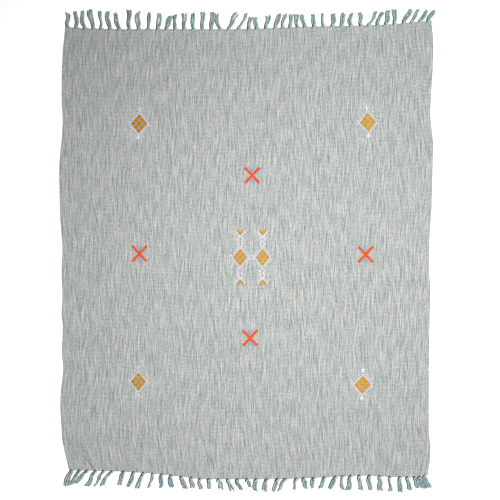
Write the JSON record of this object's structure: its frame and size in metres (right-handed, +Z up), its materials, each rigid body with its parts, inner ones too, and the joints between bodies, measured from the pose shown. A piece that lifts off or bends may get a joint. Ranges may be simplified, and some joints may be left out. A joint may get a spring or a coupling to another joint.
{
  "type": "throw blanket",
  "caption": "Flat-laid throw blanket of plain woven slub cotton with knotted tassel fringes at both ends and small embroidered lozenges and crosses.",
  "frame": {"origin": "middle of the outline, on the surface that the throw lies on", "axes": "+X across the cloth from one selvedge to the other, +Y along the warp from the lower fringe to the upper fringe, +Z up out of the embroidered face"},
  "size_m": [1.3242, 1.707, 0.0065],
  "materials": {
    "slub_cotton": "plain woven slub cotton, matt",
    "fringe_yarn": "loose cotton yarns, knotted, matt",
    "gold_floss": "stitched cotton floss, soft sheen",
    "lilac_floss": "stitched cotton floss, soft sheen",
    "orange_floss": "stitched cotton floss, soft sheen"
  },
  "bodies": {
    "root": {"throw_cloth": "slub_cotton", "fringe_upper": "fringe_yarn", "fringe_lower": "fringe_yarn"}
  },
  "joints": []
}
